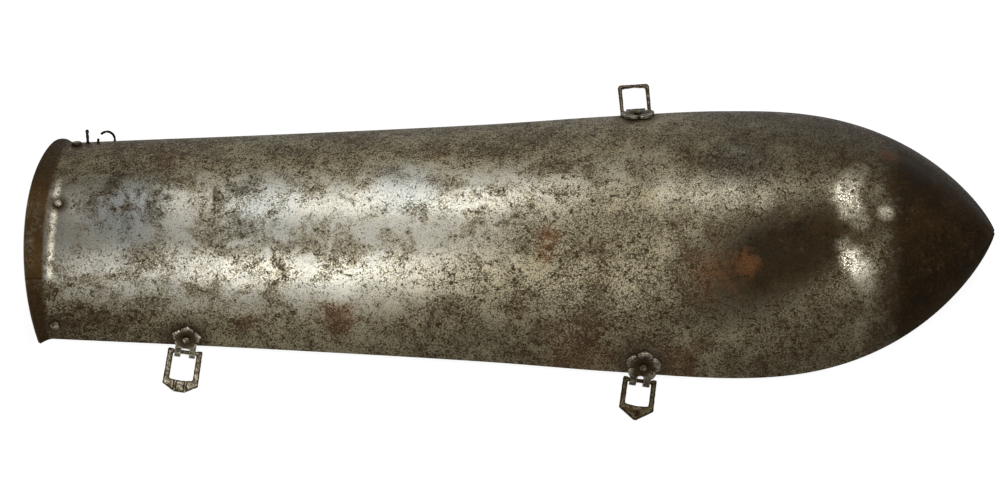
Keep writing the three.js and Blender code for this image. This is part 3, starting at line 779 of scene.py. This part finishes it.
def iron_material(name):
    made = bpy.data.materials.get(name)
    if made:
        return made
    finish = bpy.context.scene.guard_finish
    skin, bright, rust_share, wear_share, dark_edges, grime_and_shadow = IRONS[name]
    material, start = new_material(name)
    place = in_millimetres(start)
    middle = cloud(start, place, 0.55, 5.0, 0.62, 0.4)
    fine = cloud(start, place, 2.2, 5.0, 0.7)
    filed = cloud(start, stretched(start, place, (0.8, 5, 5), (0.3, 0.2, 0.8)), 1.0, 3.0, 0.6)
    wear_and_painted_light = kept_value(start, "wear")
    pits = between(0.31 - cells(start, place, 1.25), 0.0, 0.12) * between(middle + (fine - 0.5), 0.40, 0.56)
    raised = between(wear_and_painted_light + (fine - 0.5) * 0.4, 0.22, 0.75)
    sunk = between(-1 * wear_and_painted_light + (fine - 0.5) * 0.4, 0.22, 0.75)
    dish = 0.0
    for clip in CLIPS:
        dish = greater(near_spot(start, place, clip_seat(clip).translation, DISH_GRIME_AND_SHADOW), dish)
    dish = between(dish + (middle - 0.5) * 0.5, 0.38, 0.62) * grime_and_shadow
    # Painted shade: raised edges on the darker irons, hollows, and grime with painted shade in the dish
    # round a clip's rivet are blended to the dark pit colour.
    edge = greater(sunk, greater(raised * dark_edges, dish))
    lit = (fine - 0.5) * 0.8 + (middle - 0.5) * 1.0 + raised * (0.3 - 0.6 * dark_edges) - dish * 0.5
    polish = between(lit, -0.08, 0.28) * wear_share
    rust = between(middle + (fine - 0.5) * 0.5, 0.58, 0.72) * rust_share
    shade = blended(start, between(middle, 0.3, 0.6), finish.pit, getattr(finish, skin))
    shade = blended(start, rust, shade, finish.rust)
    shade = blended(start, polish, shade, getattr(finish, bright))
    shade = blended(start, greater(pits * 0.92, edge * 0.75), shade, finish.pit)
    dull = clamped(greater(pits, edge) + rust - polish)
    roughness = 0.40 + 0.22 * fine + 0.25 * dull - 0.12 * polish
    height = 0.8 * fine + 0.5 * filed + 0.6 * middle - 1.4 * pits
    end_material(start, shade, clamped(roughness), 1 - 0.2 * rust, height, IRON_RELIEF)
    return material


# The plate

PLATE_ROWS = 286
PLATE_COLUMNS = 112
FOREARM_ROWS_SHARE = 0.72
ELBOW_ROWS_POWER = 1.5


def named_value(start, name, kind="FLOAT"):
    return start.add("GeometryNodeInputNamedAttribute", {"data_type": kind}, {"Name": name})


def plate_tree(material):
    keys = list(GuardPlateSizes.__annotations__)
    tree, start = tree_of("raised_plate", "GeometryNodeTree")
    sizes = named_inputs(tree, keys)
    shape = PlateShape({key: sizes[key] for key in keys})
    marked, grid_x, grid_y = unit_grid(start, PLATE_ROWS, PLATE_COLUMNS)
    along = grid_x + 0.5
    across = grid_y * 2
    forearm = clamped(along / FOREARM_ROWS_SHARE)
    elbow = clamped((along - FOREARM_ROWS_SHARE) / (1 - FOREARM_ROWS_SHARE))
    x = (
        (shape.forearm_length + shape.flange_width) * forearm
        - shape.flange_width
        + shape.elbow_length * (1 - (1 - elbow) ** ELBOW_ROWS_POWER)
    )
    for name, value in (("across", across), ("past_crease", x / MM)):
        marked = start.add(
            "GeometryNodeStoreNamedAttribute",
            {"data_type": "FLOAT", "domain": "POINT"},
            {"Geometry": marked, "Name": name, "Value": value},
        )
    closed = bent(start, marked, *shape.point(x, across))

    position = start.add("GeometryNodeInputPosition")
    scale = 1 / shape.dent_size
    dents = cloud(start, position, scale, 1.5, 0.45)
    finer = cloud(start, position, scale * 3.1, 1.0, 0.4)
    waves = clamped(0.5 + 2.0 * (dents - 0.5) + 0.5 * (finer - 0.5))
    kept = named_value(start, "across")
    clear = between(1 - size_of(kept), 0.06, 0.3) * between(named_value(start, "past_crease"), 3.0, 14.0)
    end_tree(tree, pressed(start, closed, shape.dent_depth * waves * clear), material)
    return tree


BAR_LENGTH = 8 * MM


def hole_cutter():
    """One mesh of round bars through the plate, for the rivets and the mail links."""
    sizes = bpy.context.scene.guard_fittings
    bars = [(clip_seat(name), sizes.shank + sizes.seat) for name in CLIPS]
    bars += [(wrist_rivet_seat(end), sizes.shank + sizes.seat) for end in WRIST_RIVETS]
    bars += [(rim_seat(x, 1, sizes.link_inset), sizes.link_hole) for x in LINK_PLACES]
    form = bmesh.new()
    for seat, radius in bars:
        bmesh.ops.create_cone(
            form, cap_ends=True, segments=32, radius1=radius, radius2=radius, depth=BAR_LENGTH, matrix=seat
        )
    mesh = bpy.data.meshes.new("hole_cutter")
    form.to_mesh(mesh)
    form.free()
    return new_object("hole_cutter", mesh)


class GUARD_OT_plate(bpy.types.Operator):
    """Build the raised, dented and pitted plate"""

    bl_idname = "guard.plate"
    bl_label = "Build Plate"

    def execute(self, context):
        values = plate_values()
        shape = PlateShape(values)
        material = plate_material()
        piece = new_object("guard_plate_steel", bpy.data.meshes.new("guard_plate_steel"))
        run_tree(piece, plate_tree(material), values)
        baked(piece)
        piece.data.transform(Matrix.Translation(crease_place(shape)))
        cutter = hole_cutter()
        wall = piece.modifiers.new("wall", "SOLIDIFY")
        wall.thickness = shape.sheet
        wall.offset = -1
        holes = piece.modifiers.new("holes", "BOOLEAN")
        holes.object = cutter
        holes.solver = "EXACT"
        rounding = piece.modifiers.new("edges", "BEVEL")
        rounding.width = shape.edge_round
        rounding.segments = 2
        rounding.limit_method = "ANGLE"
        rounding.angle_limit = math.radians(50)
        baked(piece)
        bpy.data.objects.remove(cutter)
        dress(piece, material)
        piece.data.set_sharp_from_angle(angle=math.radians(55))
        in_place(piece, "guard", "plate_steel", "main_plate")
        return {"FINISHED"}


# Rivets: stretches of the profile, from the head's top at 0 to the tail's end at 1

DOME = (0.0, 0.5)
SLAB_EDGE = (0.5, 0.57)
UNDERSIDE = (0.57, 0.64)
SHANK = (0.64, 0.70)
TAIL_TOP = (0.70, 0.76)
TAIL = (0.76, 1.0)
SLAB_SHARE = 0.3
RIVET_ROWS = 61
RIVET_COLUMNS = 73
RIVET_MARK = 1.1 * MM
RIVET_DENT = 0.09 * MM


def rivet_tree(material):
    keys = [
        "Head radius", "Head rise", "Head sides", "Lift", "Shank radius", "Depth",
        "Tail radius", "Tail rise", "Facet depth", "Dent depth", "Seed",
    ]
    tree, start = tree_of("hammered_rivets", "GeometryNodeTree")
    sizes = named_inputs(tree, keys)
    grid, grid_x, grid_y = unit_grid(start, RIVET_COLUMNS, RIVET_ROWS)
    angle = (grid_x + 0.5) * (2 * math.pi)
    t = 0.5 - grid_y
    quarter = math.pi / 2
    dome = between(t, *DOME) * quarter
    tail = between(t, *TAIL) * quarter
    slab = sizes["Head rise"] * SLAB_SHARE
    sector = 2 * math.pi / sizes["Head sides"]
    flat = cosine(sector / 2) / cosine(rest_of(angle, sector) - sector / 2)
    sided = 1 + (flat - 1) * sizes["Facet depth"]
    head = sizes["Head radius"] * sided
    shank = sizes["Shank radius"]
    radius = (
        head * sine(dome)
        + (shank - head) * between(t, *UNDERSIDE)
        + (sizes["Tail radius"] - shank) * between(t, *TAIL_TOP)
        + sizes["Tail radius"] * (cosine(tail) - 1)
    )
    height = (
        sizes["Lift"]
        + slab
        + (sizes["Head rise"] - slab) * (1 - sine(dome) ** 4) ** 0.5
        - slab * between(t, *SLAB_EDGE)
        - (sizes["Depth"] + sizes["Lift"]) * between(t, *SHANK)
        - sizes["Tail rise"] * sine(tail)
    )
    closed = bent(start, grid, radius * cosine(angle), radius * sine(angle), height)
    turn = named_value(start, "seat_turn", "FLOAT_VECTOR")
    rotation = start.add("FunctionNodeEulerToRotation", {}, {"Euler": turn})
    copies = start.add(
        "GeometryNodeInstanceOnPoints",
        {},
        {"Points": sizes["Geometry"], "Instance": closed, "Rotation": rotation},
    )
    real = start.add("GeometryNodeRealizeInstances", {}, {"Geometry": copies})
    position = start.add("GeometryNodeInputPosition")
    marks = start.add(
        "ShaderNodeTexNoise",
        {"noise_dimensions": "4D"},
        {"Vector": position, "W": sizes["Seed"], "Scale": 1 / RIVET_MARK, "Detail": 2.0},
    )
    end_tree(tree, pressed(start, real, sizes["Dent depth"] * marks), material)
    return tree


def seat_points(name, seats):
    """A mesh of one vertex for each seat, with the seat's turn kept on it."""
    mesh = bpy.data.meshes.new(name)
    mesh.from_pydata([seat.translation for seat in seats], [], [])
    turns = mesh.attributes.new("seat_turn", "FLOAT_VECTOR", "POINT")
    turns.data.foreach_set("vector", [value for seat in seats for value in seat.to_euler()])
    return new_object(name, mesh)


def clip_depth(name):
    """How deep a clip rivet's shank goes: through both leaves and the sheet."""
    shape = PlateShape(plate_values())
    sizes = bpy.context.scene.guard_fittings
    half, _, rise = shape.section(CLIPS[name]["x"])
    radius, _ = shape.arc(half, rise)
    reach = max(CLIPS[name]["inset"], sizes.tongue)
    return shape.sheet + 2 * sizes.seat + reach * reach / (2 * radius) + sizes.strip


# Where each rivet sits, the facets of its head, how flat they are, and its iron
RIVETS = {
    "wrist_clip_rivet": ("wrist_clip", 5, 0.75, "worn_fitting_iron"),
    "elbow_clip_rivet_near": ("elbow_clip_near", 12, 0.5, "browned_fitting_iron"),
    "elbow_clip_rivet_far": ("elbow_clip_far", 12, 0.5, "browned_fitting_iron"),
    "wrist_rivet_near": ("near", 12, 0.5, "worn_fitting_iron"),
    "wrist_rivet_crest": ("crest", 4, 0.85, "worn_fitting_iron"),
    "wrist_rivet_far": ("far", 12, 0.5, "browned_fitting_iron"),
}
ROVE_SEED = 20


class GUARD_OT_rivets(bpy.types.Operator):
    """Set the hammered rivets and their roves"""

    bl_idname = "guard.rivets"
    bl_label = "Build Rivets"

    def execute(self, context):
        sizes = context.scene.guard_fittings
        tree = rivet_tree(iron_material("worn_fitting_iron"))
        shared = {
            "Shank radius": sizes.shank,
            "Tail radius": sizes.tail,
            "Tail rise": sizes.tail_rise,
            "Dent depth": RIVET_DENT,
        }
        clip_head = {
            "Head radius": sizes.clip_head,
            "Head rise": sizes.clip_head_rise,
            "Lift": 2 * sizes.seat + sizes.strip,
        }
        wrist_head = {
            "Head radius": sizes.wrist_head,
            "Head rise": sizes.wrist_head_rise,
            "Lift": sizes.seat,
        }
        wrist_depth = context.scene.guard_plate.sheet + sizes.rove + 2 * sizes.seat
        for seed, (node, (place, sides, facet, iron)) in enumerate(RIVETS.items()):
            if place in CLIPS:
                seat, head, depth = clip_seat(place), clip_head, clip_depth(place)
            else:
                seat, head, depth = wrist_rivet_seat(place), wrist_head, wrist_depth
            own = {"Head sides": float(sides), "Facet depth": facet, "Seed": float(seed), "Depth": depth}
            piece = seat_points(f"{node}_iron", [seat])
            run_tree(piece, tree, shared | head | own)
            baked(piece)
            store_stand_out(piece.data)
            dress(piece, iron_material(iron))
            in_place(piece, "guard", "fitting_iron", node)
        for seed, end in enumerate(WRIST_RIVETS):
            node = f"wrist_rove_{end}"
            piece = forged(node, ROVE_SEED + seed, sizes.grain * 0.7, 2, 0.04 * MM)
            dress(piece, iron_material("rusted_dark_iron"))
            in_place(piece, "guard", "dark_iron", node)
        return {"FINISHED"}


# Clips and strap loops

CLIP_SEED = 3
LOOP_SEED = 11
LOOPS = {
    "wrist_loop": ("wrist_strap_loop", "worn_fitting_iron"),
    "elbow_loop_near": ("elbow_strap_loop_near", "rusted_dark_iron"),
    "elbow_loop_far": ("elbow_strap_loop_far", "browned_fitting_iron"),
}


class GUARD_OT_clips(bpy.types.Operator):
    """Forge the three folded clips with their rosettes"""

    bl_idname = "guard.clips"
    bl_label = "Build Clips"

    def execute(self, context):
        sizes = context.scene.guard_fittings
        for seed, node in enumerate(CLIPS):
            piece = forged(node, CLIP_SEED + seed, sizes.grain)
            dress(piece, iron_material(CLIPS[node]["iron"]))
            in_place(piece, "guard", "fitting_iron", node)
        return {"FINISHED"}


class GUARD_OT_loops(bpy.types.Operator):
    """Forge the three strap loops"""

    bl_idname = "guard.loops"
    bl_label = "Build Loops"

    def execute(self, context):
        sizes = context.scene.guard_fittings
        for seed, (node, (body, iron)) in enumerate(LOOPS.items()):
            piece = forged(node, LOOP_SEED + seed, sizes.grain, 3, 0.12 * MM, 1.3 * MM)
            dress(piece, iron_material(iron))
            in_place(piece, body, "fitting_iron", node)
        return {"FINISHED"}


# Mail links

LINKS = {"mail_link_riveted": "riveted_link", "mail_link_open": "open_link"}
LINK_STEPS = 40
CLOSED_GAP = math.radians(20)
LINK_DENTS = {"Steps": 180, "Sides": 28, "Dent depth": 0.06 * MM, "Dent size": 0.9 * MM}


def link_tree(material):
    keys = ["Wire", "Steps", "Sides", "Dent depth", "Dent size"]
    tree, start = tree_of("bent_links", "GeometryNodeTree")
    sizes = named_inputs(tree, keys)
    line = start.add("GeometryNodeMeshToCurve", {}, {"Mesh": sizes["Geometry"]})
    line = start.add("GeometryNodeCurveSplineType", {"spline_type": "CATMULL_ROM"}, {"Curve": line})
    line = start.add("GeometryNodeResampleCurve", {}, {"Curve": line, "Count": sizes["Steps"]})
    thick = named_value(start, "thickness") * sizes["Wire"]
    ring = start.add("GeometryNodeCurvePrimitiveCircle", {}, {"Resolution": sizes["Sides"], "Radius": 0.5})
    sweep = {"Curve": line, "Profile Curve": ring, "Scale": thick, "Fill Caps": True}
    wire = start.add("GeometryNodeCurveToMesh", {}, sweep)
    marks = cloud(start, start.add("GeometryNodeInputPosition"), 1 / sizes["Dent size"], 2.0)
    end_tree(tree, pressed(start, wire, sizes["Dent depth"] * marks), material)
    return tree


def link_line(node, wire):
    """Middle line of a link's solid: one vertex for each step round it, with its thickness."""
    places = vectors(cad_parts[node].data.vertices, "co")
    middle = places.mean(0)
    _, _, ways = np.linalg.svd(places - middle)
    flat = (places - middle) @ ways.T
    rows = np.column_stack([2 * flat[:, :2], np.ones(len(flat))])
    centre = np.linalg.lstsq(rows, (flat[:, :2] ** 2).sum(1), rcond=None)[0][:2]
    turns = np.arctan2(flat[:, 1] - centre[1], flat[:, 0] - centre[0])
    ends = np.sort(turns)
    gaps = np.diff(np.append(ends, ends[0] + 2 * math.pi))
    widest = int(gaps.argmax())
    closed = gaps[widest] < CLOSED_GAP
    first = ends[(widest + 1) % len(ends)]
    sweep = 2 * math.pi - (0 if closed else gaps[widest])
    past = (turns - first) % (2 * math.pi)
    line, thickness = [], []
    for i in range(LINK_STEPS):
        share = (i + 0.5) / LINK_STEPS * sweep
        near = places[np.abs(past - share) < sweep / LINK_STEPS]
        if len(near) > 3:
            line.append(near.mean(0))
            spread = near - near.mean(0)
            thickness.append(2 * math.sqrt((spread**2).sum(1).mean()) / wire)
    mesh = bpy.data.meshes.new(f"{node}_line")
    edges = [(i, i + 1) for i in range(len(line) - 1)] + ([(len(line) - 1, 0)] if closed else [])
    mesh.from_pydata(line, edges, [])
    kept = mesh.attributes.new("thickness", "FLOAT", "POINT")
    kept.data.foreach_set("value", thickness)
    return new_object(f"{node}_wire", mesh)


class GUARD_OT_links(bpy.types.Operator):
    """Bend the two mail links"""

    bl_idname = "guard.links"
    bl_label = "Build Links"

    def execute(self, context):
        sizes = context.scene.guard_fittings
        tree = link_tree(iron_material("rusted_dark_iron"))
        for node, body in LINKS.items():
            piece = link_line(node, sizes.link_wire)
            run_tree(piece, tree, {"Wire": sizes.link_wire} | LINK_DENTS)
            baked(piece)
            store_stand_out(piece.data)
            in_place(piece, body, "dark_iron", node)
        return {"FINISHED"}


# Studio


def aim_point():
    """The point that the photograph's optical axis passes through."""
    shape = PlateShape(plate_values())
    return crease_place(shape) + Vector((bpy.context.scene.guard_studio.aim, 0, 0))


def shown_rays(start):
    """1 for rays that should see the white surroundings."""
    kinds = ["Is Camera Ray", "Is Glossy Ray", "Is Transmission Ray"]
    camera, glossy, through = [start.add("ShaderNodeLightPath", {}, {}, kind) for kind in kinds]
    return greater(greater(camera, glossy), through)


# Name: place over the guard as shares of the lamp height, width, depth, power
LAMPS = {
    "far_softbox": (-0.13, 0.68, 0.15, 0.18, "far_lamp"),
    "near_softbox": (-0.23, -0.50, 0.16, 0.12, "near_lamp"),
    "far_end_softbox": (0.50, 0.69, 0.09, 0.10, "end_lamp"),
    "near_end_softbox": (0.40, -0.26, 0.07, 0.08, "end_lamp"),
}


class GUARD_OT_studio(bpy.types.Operator):
    """Set up the camera, lamps, room and floor"""

    bl_idname = "guard.studio"
    bl_label = "Build Studio"

    def execute(self, context):
        studio = context.scene.guard_studio
        target = aim_point()
        view = Vector((0, -math.cos(studio.elevation), math.sin(studio.elevation)))
        camera = bpy.data.cameras.new("photo_camera")
        camera.type = "PERSP"
        camera.sensor_width = 36
        camera.lens = studio.lens
        camera.shift_x = studio.shift_right
        camera.shift_y = studio.shift_up
        camera.clip_end = 20
        holder = new_object("photo_camera", camera)
        turned = Euler((math.pi / 2 - studio.elevation, 0, 0)).to_matrix().to_4x4()
        place = Matrix.Translation(target + view * studio.distance)
        holder.matrix_world = place @ turned @ Matrix.Rotation(studio.roll, 4, "Z")
        context.scene.camera = holder

        for name, (x, y, width, depth, power) in LAMPS.items():
            light = bpy.data.lights.new(name, "AREA")
            light.shape = "RECTANGLE"
            light.size = width
            light.size_y = depth
            light.energy = getattr(studio, power)
            lamp = new_object(name, light)
            lamp.location = target + Vector((x, y, 1)) * studio.lamp_height
            lamp.rotation_euler = (lamp.location - target).to_track_quat("Z", "Y").to_euler()

        world = bpy.data.worlds.new("white_room")
        context.scene.world = world
        world.use_nodes = True
        world.node_tree.nodes.clear()
        start = Signal(world.node_tree)
        shown = shown_rays(start)
        strength = shown + (1 - shown) * studio.world
        room = start.add("ShaderNodeBackground", {}, {"Color": (1, 1, 1, 1), "Strength": strength})
        start.add("ShaderNodeOutputWorld", {}, {"Surface": room})

        material, start = new_material("pale_floor")
        shown = shown_rays(start)
        matt = start.add("ShaderNodeBsdfDiffuse", {}, {"Color": (0.9, 0.9, 0.9, 1)})
        white = start.add("ShaderNodeEmission", {}, {"Color": (1, 1, 1, 1), "Strength": 1.0})
        both = start.add("ShaderNodeMixShader", {}, {0: shown * studio.floor_glow, 1: matt, 2: white})
        start.add("ShaderNodeOutputMaterial", {}, {"Surface": both})
        form = bmesh.new()
        bmesh.ops.create_grid(form, x_segments=1, y_segments=1, size=4)
        mesh = bpy.data.meshes.new("studio_floor")
        form.to_mesh(mesh)
        form.free()
        floor = new_object("studio_floor", mesh)
        dress(floor, material)
        context.scene.view_settings.view_transform = "Standard"
        return {"FINISHED"}


STEPS = (GUARD_OT_studio, GUARD_OT_plate, GUARD_OT_rivets, GUARD_OT_clips, GUARD_OT_loops, GUARD_OT_links)


class GUARD_PT_sidebar(bpy.types.Panel):
    """Steps that build the arm guard"""

    bl_idname = "GUARD_PT_sidebar"
    bl_label = "Arm Guard"
    bl_space_type = "VIEW_3D"
    bl_region_type = "UI"
    bl_category = "Arm Guard"

    def draw(self, context):
        for step in STEPS:
            self.layout.operator(step.bl_idname)
        for group in ("guard_plate", "guard_fittings", "guard_finish", "guard_studio"):
            owner = getattr(context.scene, group)
            column = self.layout.column(align=True)
            for key in type(owner).__annotations__:
                column.prop(owner, key)


GROUPS = {
    "guard_plate": GuardPlateSizes,
    "guard_fittings": GuardFittingSizes,
    "guard_finish": GuardFinish,
    "guard_studio": GuardStudio,
}


def register():
    for group in (*GROUPS.values(), *STEPS, GUARD_PT_sidebar):
        bpy.utils.register_class(group)
    for name, group in GROUPS.items():
        setattr(bpy.types.Scene, name, PointerProperty(type=group))


def unregister():
    for name in GROUPS:
        delattr(bpy.types.Scene, name)
    for group in reversed((*GROUPS.values(), *STEPS, GUARD_PT_sidebar)):
        bpy.utils.unregister_class(group)


def main():
    register()
    bpy.ops.guard.studio()
    bpy.ops.guard.plate()
    bpy.ops.guard.rivets()
    bpy.ops.guard.clips()
    bpy.ops.guard.loops()
    bpy.ops.guard.links()


if __name__ == "__main__":
    main()
